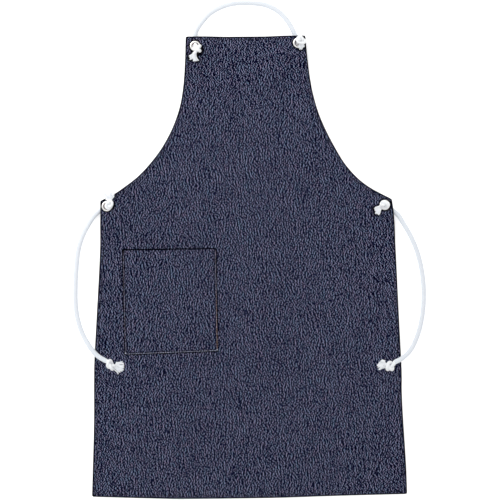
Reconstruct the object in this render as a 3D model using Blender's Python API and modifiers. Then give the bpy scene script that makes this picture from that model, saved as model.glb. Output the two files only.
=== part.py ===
"""A denim bib apron for workshop use, laid flat and face up on a table.

The frame: X runs across the apron, Y runs up it towards the neck, and Z is up off the table. The
origin is on the table under the middle of the cloth. Left and right are as seen from above, with
the bib at the top. All lengths are in metres.

The cloth lies on the table, but at its four corners it rides over a cord that passes below it and
comes up through an eyelet, where a knot stops it.
"""

import math

import bmesh
import bpy
from mathutils import Matrix, Vector

# ---- the cloth ----
BIB_CORNERS = ((-0.1157, 0.4500), (0.1168, 0.4500))
FOOT_CORNERS = ((-0.3064, -0.4440), (0.3076, -0.4440))
WAIST_CORNERS = ((-0.2845, 0.1320), (0.2822, 0.1305))
# Points along each edge, from corner to corner, anticlockwise from the left foot corner
FOOT_EDGE = (
    (-0.1840, -0.4485), (-0.1150, -0.4500), (0.0400, -0.4495), (0.1670, -0.4465),
)
RIGHT_EDGE = (
    (0.3060, -0.3880), (0.3005, -0.2860), (0.2990, -0.2400), (0.2990, -0.2000), (0.2945, -0.0950),
    (0.2875, 0.0765),
)
RIGHT_ARMHOLE = (
    (0.2470, 0.1490), (0.2270, 0.1630), (0.2105, 0.1785), (0.1940, 0.1980), (0.1810, 0.2180),
    (0.1600, 0.2570), (0.1430, 0.2960), (0.1315, 0.3355), (0.1245, 0.3745), (0.1200, 0.4115),
)
LEFT_ARMHOLE = (
    (-0.1180, 0.3940), (-0.1240, 0.3375), (-0.1335, 0.2985), (-0.1500, 0.2595), (-0.1740, 0.2210),
    (-0.2085, 0.1820), (-0.2445, 0.1535), (-0.2640, 0.1415),
)
LEFT_EDGE = (
    (-0.2850, 0.0910), (-0.2880, 0.0075), (-0.2985, -0.1600), (-0.3005, -0.2170), (-0.3015, -0.3045),
)
EDGE_SPACING = 0.018  # of the points on the curved edges
CLOTH = 0.0011  # thickness
GAP = 0.0003  # clearance between touching pieces

# ---- the corners, where the cloth rides over a cord ----
LIFT = 0.0116  # height of the cloth's underside there
SLOPE = 0.050  # width of the slope from the table up to a raised corner
SLOPE_STEPS = 3
BIB_RAISED = (0.084, 0.415)  # |x| and y from which the bib's corners are raised
WAIST_RAISED = (0.2535, 0.092)
CUT_DEPTH = 0.0066  # of the cutter that makes an eyelet's hole, centred on the cloth's underside

# ---- the pocket ----
POCKET_CORNERS = ((-0.2415, -0.1693), (-0.0572, -0.1638), (-0.0591, 0.0388), (-0.2442, 0.0379))
POCKET_COLUMNS, POCKET_ROWS = 14, 8
POCKET_SEAM = 0.006  # width of the flat margin that is sewn down
POCKET_GAPE = 0.008  # how far the mouth stands open in the middle
POCKET_ROUNDING = 3  # power of the gape's fall towards the sides; higher is squarer
THREAD_R = 0.0004

# ---- the eyelets ----
HOLE_R = 0.0073  # hole in the cloth
BORE_R = 0.0062  # bore of the eyelet
BARREL_R = 0.0069
FLANGE_R = 0.0101
FLANGE = 0.0012  # height of the flange
FLANGE_DROP = 0.0003  # how far the flange's outer edge is below its crown
FLANGE_ROUND = 0.0006  # width of the flange's outer rounding
BORE_ROUND = 0.0004  # width of the rounding into the bore
WASHER_BORE_R = 0.0072
WASHER_R = 0.0098
WASHER = 0.0006
WASHER_ROUND = 0.0002
EYELET_STEPS = 20
PATCH = 0.0009  # thickness of the cloth patch behind an eyelet
# The corners of the two patches on the right, just inside the cloth's edges
BIB_PATCH = ((0.0860, 0.4170), (0.1145, 0.4170), (0.1135, 0.4480), (0.0860, 0.4480))
WAIST_PATCH = ((0.2550, 0.0920), (0.2830, 0.0920), (0.2800, 0.1290), (0.2550, 0.1420))

# ---- the cords ----
CORD_R = 0.0045
CORD_Z = 0.0047  # height of a cord's middle where it lies on the table
ON_CLOTH_Z = 0.0078  # and where it lies on the cloth, clear of the folded edge
NIPPED_R = 0.0038  # radius of the cord where the eyelet nips it
CORD_SPACING = 0.018
CORD_BEVEL_STEPS = 2
# A cord's rounded end: how far out and how wide, in cord radii
ROUNDED_END = ((0.92, 0.25), (0.70, 0.70), (0.36, 0.93))

# Heights of the layers at a raised corner, from the table up
PATCH_Z = LIFT - GAP - PATCH
WASHER_Z = PATCH_Z - GAP - WASHER
FACE_Z = LIFT + CLOTH
FLANGE_TOP_Z = FACE_Z + GAP + FLANGE

# The way of a cord's end under the cloth and up through its eyelet, after its start beside the
# turning point: the distance out from the eyelet's centre, the height and the radius.
ROOT_STATIONS = (
    (0.0090, CORD_Z, CORD_R),
    (0.0055, CORD_Z + 0.0002, CORD_R),
    (0.0028, 0.0062, 0.0042),
    (0.0012, 0.0086, NIPPED_R),
    (0.0003, 0.0112, NIPPED_R),
    (0.0, FLANGE_TOP_Z - 0.0004, NIPPED_R),
)

# Each eyelet's centre, the point outside the cloth where its cord comes out from below and turns,
# and where the knot's middle and the tail's end lie, both measured from the eyelet's centre.
CORNERS = {
    "bib_left": ((-0.0976, 0.4313), (-0.0972, 0.4560), (0.0065, -0.0065), (-0.0030, -0.0290)),
    "bib_right": ((0.1027, 0.4358), (0.0950, 0.4560), (0.0050, 0.0045), (0.0120, -0.0130)),
    "waist_left": ((-0.2718, 0.1215), (-0.2925, 0.1080), (0.0055, 0.0060), (0.0000, 0.0290)),
    "waist_right": ((0.2680, 0.1194), (0.2925, 0.1020), (0.0000, 0.0000), (-0.0190, -0.0165)),
}
KNOT_SIZE = (0.0085, 0.0085, 0.0070)  # half sizes of a stopper knot
END_KNOT_SIZE = (0.0080, 0.0115, 0.0070)
KNOT_SEGMENTS, KNOT_RINGS = 12, 8
TAIL_FLAT = 0.55  # a tail's height over its width
TAIL_SEGMENTS = 12
TAIL_SIZE = (0.0085, 0.0035)  # a tail's half width at its end and at its knot
TAIL_SIZES = {"waist_left_frayed_tail": (0.0070, 0.0040)}

# The routes of the cords, from turning point to end, in plan. A route's points are joined by a
# smooth curve.
NECK_ROUTE = (
    (-0.0972, 0.4560), (-0.0935, 0.4650), (-0.0850, 0.4778), (-0.0664, 0.4968),
    (-0.0380, 0.5105), (-0.0062, 0.5155), (0.0312, 0.5128), (0.0534, 0.5052),
    (0.0695, 0.4940), (0.0815, 0.4805), (0.0900, 0.4665), (0.0950, 0.4560),
)
LEFT_TIE_ROUTE = (
    (-0.2925, 0.1080), (-0.3056, 0.0914), (-0.3200, 0.0642), (-0.3285, 0.0370),
    (-0.3322, 0.0097), (-0.3342, -0.0176), (-0.3352, -0.0449), (-0.3346, -0.0722),
    (-0.3305, -0.0995), (-0.3215, -0.1269), (-0.3080, -0.1510), (-0.2930, -0.1690),
    (-0.2755, -0.1800),
)
RIGHT_TIE_ROUTE = (
    (0.2925, 0.1020), (0.3030, 0.0861), (0.3185, 0.0587), (0.3298, 0.0313),
    (0.3372, 0.0039), (0.3415, -0.0235), (0.3430, -0.0508), (0.3420, -0.0781),
    (0.3383, -0.1053), (0.3310, -0.1326), (0.3180, -0.1605), (0.3020, -0.1775),
    (0.2850, -0.1868),
)
TIE_CLIMB = (-0.120, -0.150)  # y at which a tie leaves the table, and at which it is on the cloth

# Where each tie's end knot and the end of its tail lie.
LEFT_END = ((-0.2660, -0.1862), (-0.2415, -0.1925))
RIGHT_END = ((0.2752, -0.1905), (0.2520, -0.1885))

# ---- colours ----
DENIM = (0.043, 0.047, 0.085, 1.0)
THREAD = (0.030, 0.022, 0.030, 1.0)
NICKEL = (0.80, 0.79, 0.78, 1.0)
COTTON = (0.83, 0.86, 0.92, 1.0)


# ---------------------------------------------------------------- scene set-up


def start_scene():
    """Empty the scene, and return the collections for the parts and for the cutters."""
    for obj in list(bpy.data.objects):
        bpy.data.objects.remove(obj, do_unlink=True)
    parts = bpy.data.collections.new("welding_apron")
    cutters = bpy.data.collections.new("cutters")
    bpy.context.scene.collection.children.link(parts)
    bpy.context.scene.collection.children.link(cutters)
    return parts, cutters


def material(name, colour, roughness, metallic=0.0):
    """A Principled material."""
    mat = bpy.data.materials.new(name)
    mat.use_nodes = True
    shader = mat.node_tree.nodes["Principled BSDF"]
    shader.inputs["Base Color"].default_value = colour
    shader.inputs["Roughness"].default_value = roughness
    shader.inputs["Metallic"].default_value = metallic
    mat.diffuse_color = colour
    return mat


def place(name, data, collection, mat, location=(0.0, 0.0, 0.0)):
    """A new object in a collection, with its own material."""
    obj = bpy.data.objects.new(name, data)
    collection.objects.link(obj)
    obj.location = location
    if mat is not None:
        data.materials.append(mat)
    return obj


def take_mesh(bm, name):
    """Turn a bmesh into a mesh, and free it."""
    mesh = bpy.data.meshes.new(name)
    bm.to_mesh(mesh)
    bm.free()
    return mesh


def thicken(obj, thickness):
    """Give a sheet its thickness, upwards from its own surface."""
    solidify = obj.modifiers.new("thickness", "SOLIDIFY")
    solidify.thickness = thickness
    solidify.offset = 1.0


# ---------------------------------------------------------------- shared shapes


def smoothstep(t):
    """0 below 0, 1 above 1, and smooth between."""
    t = min(max(t, 0.0), 1.0)
    return t * t * (3.0 - 2.0 * t)


def smooth_route(knots, spacing):
    """Points about a spacing apart on a smooth curve (Catmull-Rom) through a route's points."""
    ends = [2 * knots[0] - knots[1], *knots, 2 * knots[-1] - knots[-2]]
    points = [knots[0].copy()]
    for a, b, c, d in zip(ends, ends[1:], ends[2:], ends[3:]):
        steps = max(1, round((c - b).length / spacing))
        for i in range(1, steps + 1):
            t = i / steps
            points.append(
                0.5 * (2 * b + (c - a) * t + (2 * a - 5 * b + 4 * c - d) * t**2
                       + (3 * b - a - 3 * c + d) * t**3)
            )
    return points


def raised(x, y):
    """How far the cloth is lifted at a place, from 0 on the table to 1 at a raised corner."""
    height = 0.0
    for edge_x, edge_y in (BIB_RAISED, WAIST_RAISED):
        across = smoothstep((abs(x) - edge_x + SLOPE) / SLOPE)
        along = smoothstep((y - edge_y + SLOPE) / SLOPE)
        height = max(height, across * along)
    return height


def cord_curve(name, points, radii, collection, mat, location=(0.0, 0.0, 0.0)):
    """A tube along a list of points, each with its own radius, with closed ends."""
    curve = bpy.data.curves.new(name, "CURVE")
    curve.dimensions = "3D"
    curve.bevel_depth = 1.0
    curve.bevel_resolution = CORD_BEVEL_STEPS
    curve.use_fill_caps = True
    spline = curve.splines.new("POLY")
    spline.points.add(len(points) - 1)
    origin = Vector(location)
    for target, point, radius in zip(spline.points, points, radii):
        target.co = (*(Vector(point) - origin), 1.0)
        target.radius = radius
    spline.use_smooth = True
    return place(name, curve, collection, mat, location)


# ---------------------------------------------------------------- the cloth


def outline():
    """The cloth's outline, anticlockwise from the left foot corner."""
    foot_left, foot_right = FOOT_CORNERS
    waist_left, waist_right = WAIST_CORNERS
    bib_left, bib_right = BIB_CORNERS
    edges = (
        (foot_left, *FOOT_EDGE, foot_right),
        (foot_right, *RIGHT_EDGE, waist_right),
        (waist_right, *RIGHT_ARMHOLE, bib_right),
        (bib_right, bib_left),
        (bib_left, *LEFT_ARMHOLE, waist_left),
        (waist_left, *LEFT_EDGE, foot_left),
    )
    points = []
    for edge in edges:
        knots = [Vector(p) for p in edge]
        curve = smooth_route(knots, EDGE_SPACING) if len(knots) > 2 else knots
        points += curve[:-1]
    return points


def slope_lines(edge):
    """Places of the grid lines across one slope, which ends at a raised corner's edge."""
    return [edge - SLOPE * i / SLOPE_STEPS for i in range(SLOPE_STEPS + 1)]


def make_panel(parts, cutters, mat):
    """The front panel: the outline, cut by grid lines so it can bend, lifted and thickened."""
    bm = bmesh.new()
    bm.faces.new([bm.verts.new((p.x, p.y, 0.0)) for p in outline()])
    across = slope_lines(BIB_RAISED[0]) + slope_lines(WAIST_RAISED[0])
    along = slope_lines(BIB_RAISED[1]) + slope_lines(WAIST_RAISED[1])
    cuts = [((x, 0, 0), (1, 0, 0)) for x in across]
    cuts += [((-x, 0, 0), (1, 0, 0)) for x in across]
    cuts += [((0, y, 0), (0, 1, 0)) for y in along]
    for point, normal in cuts:
        everything = bm.verts[:] + bm.edges[:] + bm.faces[:]
        bmesh.ops.bisect_plane(bm, geom=everything, dist=1e-6, plane_co=point, plane_no=normal)
    for vert in bm.verts:
        vert.co.z = LIFT * raised(vert.co.x, vert.co.y)
    panel = place("apron_panel", take_mesh(bm, "apron_panel"), parts, mat)
    thicken(panel, CLOTH)
    for name, (centre, *_) in CORNERS.items():
        cut_hole(panel, f"{name}_hole", centre, LIFT, cutters)
    return panel


def cut_hole(obj, name, centre, z, cutters):
    """Cut an eyelet's hole through cloth whose underside is at height z."""
    bpy.ops.mesh.primitive_cylinder_add(
        vertices=EYELET_STEPS, radius=HOLE_R, depth=CUT_DEPTH, location=(*centre, z)
    )
    cutter = bpy.context.object
    cutter.name = name
    for collection in list(cutter.users_collection):
        collection.objects.unlink(cutter)
    cutters.objects.link(cutter)
    cutter.hide_render = True
    cutter.display_type = "WIRE"
    cut = obj.modifiers.new(name, "BOOLEAN")
    cut.operation = "DIFFERENCE"
    cut.object = cutter


def make_pocket(parts, mat):
    """The patch pocket: a sheet sewn flat along three sides, whose mouth stands a little open."""
    foot_left, foot_right, mouth_right, mouth_left = (Vector(p) for p in POCKET_CORNERS)
    width = (mouth_right - mouth_left).length
    depth = (mouth_left - foot_left).length
    seam_u, seam_v = POCKET_SEAM / width, POCKET_SEAM / depth
    bm = bmesh.new()
    bmesh.ops.create_grid(bm, x_segments=POCKET_COLUMNS, y_segments=POCKET_ROWS, size=0.5)
    for vert in bm.verts:
        # The outer ring of cells is the sewn margin, on the three sewn sides.
        column = round((vert.co.x + 0.5) * POCKET_COLUMNS)
        row = round((vert.co.y + 0.5) * POCKET_ROWS)
        u = seam_position(column, POCKET_COLUMNS, seam_u, both=True)
        v = seam_position(row, POCKET_ROWS, seam_v, both=False)
        foot = foot_left.lerp(foot_right, u)
        mouth = mouth_left.lerp(mouth_right, u)
        flat = foot.lerp(mouth, v)
        inner_u = min(max((u - seam_u) / (1 - 2 * seam_u), 0.0), 1.0)
        inner_v = max((v - seam_v) / (1 - seam_v), 0.0)
        fall = 1 - abs(2 * inner_u - 1) ** POCKET_ROUNDING
        bulge = POCKET_GAPE * fall * (1 - (1 - inner_v) ** 2)
        vert.co = (flat.x, flat.y, CLOTH + GAP + bulge)
    pocket = place("patch_pocket", take_mesh(bm, "patch_pocket"), parts, mat)
    thicken(pocket, CLOTH)
    return pocket


def seam_position(index, count, seam, both):
    """A grid line's place from 0 to 1, with one cell of seam width at the low or at both ends."""
    if index == 0:
        return 0.0
    if both and index == count:
        return 1.0
    cells = count - 2 if both else count - 1
    span = 1.0 - 2 * seam if both else 1.0 - seam
    return seam + span * (index - 1) / cells


def make_pocket_stitching(parts, mat):
    """The thread in the pocket's sewn margin, down one side, along the foot and up the other."""
    foot_left, foot_right, mouth_right, mouth_left = (Vector(p) for p in POCKET_CORNERS)
    inset = POCKET_SEAM / 2
    path = [
        mouth_left + Vector((inset, -inset)),
        foot_left + Vector((inset, inset)),
        foot_right + Vector((-inset, inset)),
        mouth_right + Vector((-inset, -inset)),
    ]
    z = 2 * CLOTH + 2 * GAP + THREAD_R
    points = [(p.x, p.y, z) for p in path]
    return cord_curve("pocket_stitching", points, [THREAD_R] * len(points), parts, mat)


def make_backing_patch(name, points, centre, parts, mat):
    """The second layer of cloth behind an eyelet, with the eyelet's hole in it."""
    curve = bpy.data.curves.new(name, "CURVE")
    curve.dimensions = "2D"
    curve.fill_mode = "BOTH"
    curve.extrude = PATCH / 2
    angles = [math.tau * i / EYELET_STEPS for i in range(EYELET_STEPS)]
    hole = [(HOLE_R * math.cos(angle), HOLE_R * math.sin(angle)) for angle in angles]
    around = [(x - centre[0], y - centre[1]) for x, y in points]
    for ring in (around, hole):
        spline = curve.splines.new("POLY")
        spline.points.add(len(ring) - 1)
        spline.use_cyclic_u = True
        for target, (x, y) in zip(spline.points, ring):
            target.co = (x, y, 0.0, 1.0)
    return place(name, curve, parts, mat, (*centre, PATCH_Z + PATCH / 2))


# ---------------------------------------------------------------- the eyelets


def turned_ring(name, profile, centre, parts, mat):
    """A ring turned from a closed profile of (radius, height) points, outer side downwards."""
    bm = bmesh.new()
    verts = [bm.verts.new((r, 0.0, z)) for r, z in profile]
    for a, b in zip(verts, verts[1:] + verts[:1]):
        bm.edges.new((a, b))
    obj = place(name, take_mesh(bm, name), parts, mat, (*centre, 0.0))
    screw = obj.modifiers.new("turned", "SCREW")
    screw.steps = EYELET_STEPS
    screw.render_steps = EYELET_STEPS
    screw.use_merge_vertices = True
    screw.merge_threshold = 0.0001
    return obj


def make_eyelet(name, centre, parts, mat):
    """The flanged barrel, set from the front: a domed flange and a barrel down to the washer."""
    under = FACE_Z + GAP
    profile = (
        (BORE_R + BORE_ROUND, FLANGE_TOP_Z - BORE_ROUND / 2),
        ((BORE_R + FLANGE_R) / 2, FLANGE_TOP_Z),
        (FLANGE_R - FLANGE_ROUND, FLANGE_TOP_Z - FLANGE_DROP),
        (FLANGE_R, under + FLANGE_DROP),
        (FLANGE_R - FLANGE_ROUND, under),
        (BARREL_R, under),
        (BARREL_R, WASHER_Z),
        (BORE_R, WASHER_Z),
        (BORE_R, FLANGE_TOP_Z - 1.5 * BORE_ROUND),
    )
    return turned_ring(name, profile, centre, parts, mat)


def make_washer(name, centre, parts, mat):
    """The flat ring behind the cloth that the barrel is set over."""
    profile = (
        (WASHER_BORE_R, WASHER_Z + WASHER),
        (WASHER_R - WASHER_ROUND, WASHER_Z + WASHER),
        (WASHER_R, WASHER_Z + WASHER / 2),
        (WASHER_R - WASHER_ROUND, WASHER_Z),
        (WASHER_BORE_R, WASHER_Z),
    )
    return turned_ring(name, profile, centre, parts, mat)


# ---------------------------------------------------------------- the cords


def cord_root(name, centre, turn, parts, mat):
    """The end of a cord that stays with its eyelet: under the cloth, then up through the bore."""
    hole = Vector(centre)
    outward = (Vector(turn) - hole).normalized()
    reach = (Vector(turn) - hole).length - CORD_R - 1.1 * GAP
    stations = [(reach, CORD_Z, CORD_R), *ROOT_STATIONS]
    points = [(*(hole + outward * out), z) for out, z, _ in stations]
    return cord_curve(name, points, [r for *_, r in stations], parts, mat)


def rounded_start(points):
    """Points and radii of a ball-shaped end before a cord's first point, which is its pivot."""
    first, direction = points[0], (points[0] - points[1]).normalized()
    return (
        [first + direction * CORD_R * out for out, _ in ROUNDED_END],
        [CORD_R * wide for _, wide in ROUNDED_END],
    )


def make_neck_cord(parts, mat):
    """The neck cord's free arch. It turns about the line between its two ends."""
    points = smooth_route([Vector((x, y, CORD_Z)) for x, y in NECK_ROUTE], CORD_SPACING)
    start, start_r = rounded_start(points)
    end, end_r = rounded_start(points[::-1])
    radii = [CORD_R] * len(points)
    pivot = ((NECK_ROUTE[0][0] + NECK_ROUTE[-1][0]) / 2, NECK_ROUTE[0][1], CORD_Z)
    points = start + points + end[::-1]
    return cord_curve("neck_cord", points, start_r + radii + end_r[::-1], parts, mat, pivot)


def tie_height(y):
    """Height of a tie's middle: on the table, then on the cloth where its end comes back."""
    low, high = TIE_CLIMB
    return CORD_Z + (ON_CLOTH_Z - CORD_Z) * smoothstep((y - low) / (high - low))


def make_tie(name, route, end, parts, materials):
    """A waist tie with its end knot and tail. It swings about the vertical at its first point."""
    knot, tail_end = (Vector(p) for p in end)
    points = smooth_route([Vector((x, y, tie_height(y))) for x, y in route], CORD_SPACING)
    start, start_r = rounded_start(points)
    pivot = tuple(points[0])
    radii = start_r + [CORD_R] * len(points)
    cord_curve(f"{name}_cord", start + points, radii, parts, materials("cord"), pivot)
    z = CLOTH + GAP
    along = knot - Vector(route[-1])
    make_knot(f"{name}_end_knot", knot, z, END_KNOT_SIZE, along, parts, materials("knot"))
    make_tail(f"{name}_end_tail", knot, tail_end, END_KNOT_SIZE, z, parts, materials("tail"))


def make_knot(name, centre, floor_z, half, along, parts, mat):
    """A knot's outer shape, an egg resting at floor_z with its short side along a direction."""
    bm = bmesh.new()
    bmesh.ops.create_uvsphere(bm, u_segments=KNOT_SEGMENTS, v_segments=KNOT_RINGS, radius=1.0)
    bmesh.ops.scale(bm, vec=half, verts=bm.verts)
    for face in bm.faces:
        face.smooth = True
    knot = place(name, take_mesh(bm, name), parts, mat, (*centre, floor_z + half[2]))
    knot.rotation_euler.z = math.atan2(along.y, along.x)
    return knot


def make_tail(name, knot, tail_end, half, floor_z, parts, mat):
    """The frayed end past a knot: a flattened cone that widens away from it."""
    direction = tail_end - knot
    start = direction.normalized() * (half[1] + GAP)
    length = direction.length - start.length
    wide, narrow = TAIL_SIZES.get(name, TAIL_SIZE)
    bm = bmesh.new()
    bmesh.ops.create_cone(
        bm, cap_ends=True, segments=TAIL_SEGMENTS, radius1=narrow, radius2=wide, depth=length
    )
    for face in bm.faces:
        face.smooth = len(face.verts) < TAIL_SEGMENTS  # round the side, and flat at both ends
    bmesh.ops.rotate(bm, verts=bm.verts, matrix=Matrix.Rotation(math.pi / 2, 3, "Y"))
    bmesh.ops.scale(bm, vec=(1.0, 1.0, TAIL_FLAT), verts=bm.verts)
    middle = knot + start + direction.normalized() * length / 2
    tail = place(name, take_mesh(bm, name), parts, mat, (*middle, floor_z + wide * TAIL_FLAT))
    tail.rotation_euler.z = math.atan2(direction.y, direction.x)
    return tail


def patch_outline(name):
    """The corners of an eyelet's backing patch, just inside the cloth's edges."""
    side = -1.0 if name.endswith("left") else 1.0
    points = BIB_PATCH if name.startswith("bib") else WAIST_PATCH
    return [(side * x, y) for x, y in points]


def make_corner(name, parts, materials):
    """Everything that one corner of the apron holds: patch, eyelet, washer, cord end and knot."""
    centre, turn, knot_offset, tail_offset = CORNERS[name]
    make_backing_patch(f"{name}_backing_patch", patch_outline(name), centre, parts, materials("patch"))
    make_eyelet(f"{name}_eyelet", centre, parts, materials("eyelet"))
    make_washer(f"{name}_washer", centre, parts, materials("washer"))
    cord_root(f"{name}_cord_root", centre, turn, parts, materials("cord"))
    knot = Vector(centre) + Vector(knot_offset)
    tail_end = Vector(centre) + Vector(tail_offset)
    floor_z = FLANGE_TOP_Z + GAP
    along = tail_end - knot
    make_knot(f"{name}_stopper_knot", knot, floor_z, KNOT_SIZE, along, parts, materials("knot"))
    make_tail(f"{name}_frayed_tail", knot, tail_end, KNOT_SIZE, floor_z, parts, materials("tail"))


def main():
    """Build the apron."""
    parts, cutters = start_scene()
    finishes = {
        "patch": (DENIM, 0.9, 0.0),
        "eyelet": (NICKEL, 0.25, 1.0),
        "washer": (NICKEL, 0.35, 1.0),
        "cord": (COTTON, 0.85, 0.0),
        "knot": (COTTON, 0.85, 0.0),
        "tail": (COTTON, 0.95, 0.0),
    }

    def materials(kind):
        colour, roughness, metallic = finishes[kind]
        return material(kind, colour, roughness, metallic)

    make_panel(parts, cutters, material("panel", DENIM, 0.9))
    make_pocket(parts, material("pocket", DENIM, 0.9))
    make_pocket_stitching(parts, material("thread", THREAD, 0.7))
    for name in CORNERS:
        make_corner(name, parts, materials)
    make_neck_cord(parts, materials("cord"))
    make_tie("left_tie", LEFT_TIE_ROUTE, LEFT_END, parts, materials)
    make_tie("right_tie", RIGHT_TIE_ROUTE, RIGHT_END, parts, materials)


main()
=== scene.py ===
"""The looks of the denim bib apron: its cloth, seams, eyelets, braided cords, knots and frayed ends.

Everything is in metres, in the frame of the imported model: X across the apron, Y up it towards the
neck, Z up off the table. Left and right are as seen from above, with the bib at the top.
"""

import math

import bpy
import numpy as np
from mathutils import Matrix, Vector
from mathutils.geometry import delaunay_2d_cdt
from numpy.linalg import norm


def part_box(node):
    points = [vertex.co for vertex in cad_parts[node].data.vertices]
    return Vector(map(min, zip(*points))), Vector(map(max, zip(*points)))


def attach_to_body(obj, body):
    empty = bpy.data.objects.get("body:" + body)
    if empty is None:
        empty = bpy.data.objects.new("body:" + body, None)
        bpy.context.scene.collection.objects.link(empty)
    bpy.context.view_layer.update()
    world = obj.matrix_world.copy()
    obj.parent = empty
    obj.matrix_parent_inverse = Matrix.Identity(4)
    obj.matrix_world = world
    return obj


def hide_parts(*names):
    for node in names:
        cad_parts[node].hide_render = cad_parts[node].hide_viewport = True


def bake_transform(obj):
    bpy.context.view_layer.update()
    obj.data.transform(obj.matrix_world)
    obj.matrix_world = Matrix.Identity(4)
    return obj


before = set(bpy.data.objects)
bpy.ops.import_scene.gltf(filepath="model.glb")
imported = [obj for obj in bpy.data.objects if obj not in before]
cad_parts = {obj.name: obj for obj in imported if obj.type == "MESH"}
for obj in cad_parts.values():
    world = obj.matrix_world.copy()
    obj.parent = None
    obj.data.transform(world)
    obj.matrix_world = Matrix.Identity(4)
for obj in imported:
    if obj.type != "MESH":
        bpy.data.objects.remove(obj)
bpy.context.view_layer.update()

# ---- the view ----
VIEW_CENTRE = (0.0056, 0.0341)
VIEW_WIDTH = 0.975
VIEW_HEIGHT = 3.25  # of the camera above the table
VIEW_TURN = -0.5  # degrees
SENSOR = 36.0
LAMP_PLACE = Vector((-1.1, 1.3, 1.7))
LAMP_SIZE = 1.6
LAMP_POWER = 24.0
SKY_STRENGTH = 0.80
TABLE_GLOW = 0.45
TABLE_HALF = 4.0
WHITE = (1.0, 1.0, 1.0, 1.0)

# ---- the cloth ----
BIB_PATCH = ((0.086, 0.417), (0.1145, 0.417), (0.1135, 0.448), (0.086, 0.448))
WAIST_PATCH = ((0.255, 0.092), (0.283, 0.092), (0.28, 0.129), (0.255, 0.142))
BIB_CORNERS = ((-0.1157, 0.45), (0.1168, 0.45))
FOOT_CORNERS = ((-0.3064, -0.444), (0.3076, -0.444))
WAIST_CORNERS = ((-0.2845, 0.132), (0.2822, 0.1305))
# Points along each edge, from corner to corner, anticlockwise from the left foot corner
FOOT_EDGE = (
    (-0.184, -0.4485), (-0.115, -0.45), (0.04, -0.4495), (0.167, -0.4465),
)
RIGHT_EDGE = (
    (0.306, -0.388), (0.3005, -0.286), (0.299, -0.24), (0.299, -0.2), (0.2945, -0.095),
    (0.2875, 0.0765),
)
RIGHT_ARMHOLE = (
    (0.247, 0.149), (0.227, 0.163), (0.2105, 0.1785), (0.194, 0.198), (0.181, 0.218),
    (0.16, 0.257), (0.143, 0.296), (0.1315, 0.3355), (0.1245, 0.3745), (0.12, 0.4115),
)
LEFT_ARMHOLE = (
    (-0.118, 0.394), (-0.124, 0.3375), (-0.1335, 0.2985), (-0.15, 0.2595), (-0.174, 0.221),
    (-0.2085, 0.182), (-0.2445, 0.1535), (-0.264, 0.1415),
)
LEFT_EDGE = (
    (-0.285, 0.091), (-0.288, 0.0075), (-0.2985, -0.16), (-0.3005, -0.217), (-0.3015, -0.3045),
)
CLOTH = 0.0011
LIFT = 0.0116  # of the raised corners, over the cords
SLOPE = 0.050
PANEL_GRID = 0.006
NEAR_EYELET = 0.026  # the part round an eyelet that is made of closer points
BIB_RAISED = (0.084, 0.415)
WAIST_RAISED = (0.2535, 0.092)

# ---- the hem: the cloth's edge, folded to the back and sewn ----
HEM_WIDTH = 0.0085
HEM_EXTRA = 0.0012  # what the fold adds to the thickness
HEM_SETTLE = 0.024  # how far in the cloth takes to come down to the table
HEM_SEAM = 0.0062  # how far in the stitches are
HEM_ROWS = (
    0.0003, 0.0008, 0.0014, 0.0026, 0.0040, 0.0052, 0.0058, 0.0062, 0.0066, 0.0072, 0.0082, 0.0088,
    0.0095, 0.0120, 0.0160,
)
FOLD_R = 0.0012
STITCH = 0.0024
STITCH_PITCH = 0.0033
STITCH_R = 0.00034
GROOVE = 0.00035  # depth that the thread pulls into the cloth
GROOVE_WIDTH = 0.0007
PUCKER = 0.00022
EYELET_CLEAR = 0.0108  # from an eyelet's middle to the nearest hem stitch

# ---- the pocket ----
POCKET_CORNERS = ((-0.2415, -0.1693), (-0.0572, -0.1638), (-0.0591, 0.0388), (-0.2442, 0.0379))
POCKET_GRID = 0.005
POCKET_GAP = 0.0001
POCKET_SEAM = 0.006
POCKET_GAPE = 0.008
POCKET_HEM = 0.012
POCKET_TURNED = 0.0085  # width of its turned edges
POCKET_EXTRA = 0.0009  # what they add to the thickness
POCKET_PUCKER = 0.00025
POCKET_FOLD_R = 0.0011
POCKET_ROWS = (
    0.0003, 0.0008, 0.0014, 0.0018, 0.0021, 0.0024, 0.0028, 0.0032, 0.0037, 0.0043, 0.0049, 0.0055,
    0.0065, 0.0082, 0.0092, 0.0112, 0.0122, 0.0135,
)
TACK, TACK_SPACING, TACK_COUNT = 0.0034, 0.00075, 3  # the bar tacks at the pocket's foot
POCKET_STITCHES = 0.0028  # how far in from the pocket's edge they are

# ---- the eyelets ----
HOLE_R = 0.0073
PATCH_HOLE = 0.0075
BORE = 0.0062
WASHER_BORE = 0.0072
FLANGE = 0.0012  # height of the flange's dome
CORNER_NAMES = ("bib_left", "bib_right", "waist_left", "waist_right")

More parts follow.
